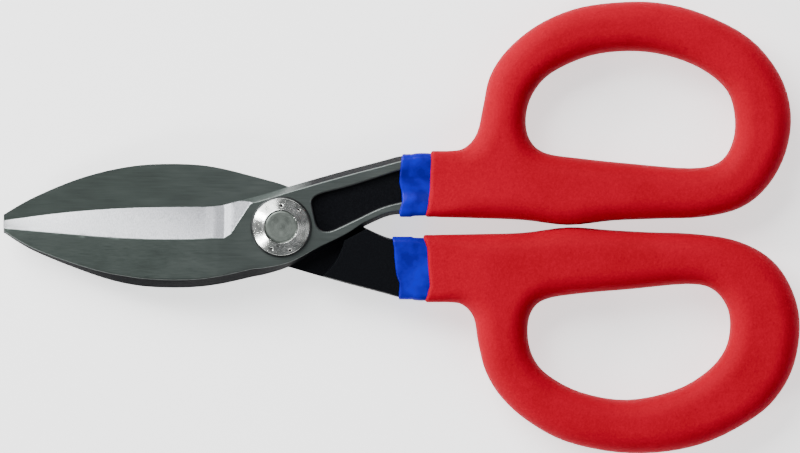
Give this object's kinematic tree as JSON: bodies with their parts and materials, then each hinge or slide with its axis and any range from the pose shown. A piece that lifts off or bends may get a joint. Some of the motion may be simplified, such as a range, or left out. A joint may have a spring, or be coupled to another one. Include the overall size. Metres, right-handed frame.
{
  "type": "tinner's snips",
  "caption": "Hand snips with straight forged blades on a bolt pivot and closed finger loops in a dipped two-colour grip coat.",
  "frame": {"origin": "on the pivot axis, at the centre of the bolt head's flat underside, on which the closed snips rest", "axes": "+X from the pivot towards the handles, +Y towards the front half's handle, +Z from the bolt head to the nut"},
  "size_m": [0.1776, 0.1008, 0.013],
  "materials": {
    "forged_steel": "ground faces, black forged sides",
    "bolt_steel": "satin",
    "washer_steel": "dark oxide",
    "bright_steel": "bright turned",
    "blue_vinyl": "glossy dip coat",
    "red_vinyl": "matte grained dip coat"
  },
  "bodies": {
    "rear_half": {"rear_blade": "forged_steel", "rear_undercoat": "blue_vinyl", "rear_grip": "red_vinyl", "pivot_bolt": "bolt_steel", "pivot_washer": "washer_steel", "pivot_nut": "bright_steel"},
    "front_half": {"front_blade": "forged_steel", "front_undercoat": "blue_vinyl", "front_grip": "red_vinyl"}
  },
  "joints": [
    {"name": "blade_pivot", "type": "hinge", "parent": "rear_half", "child": "front_half", "pos_m": [0, 0, 0.006], "axis": [0, 0, 1], "range_deg": [0, 70]}
  ]
}
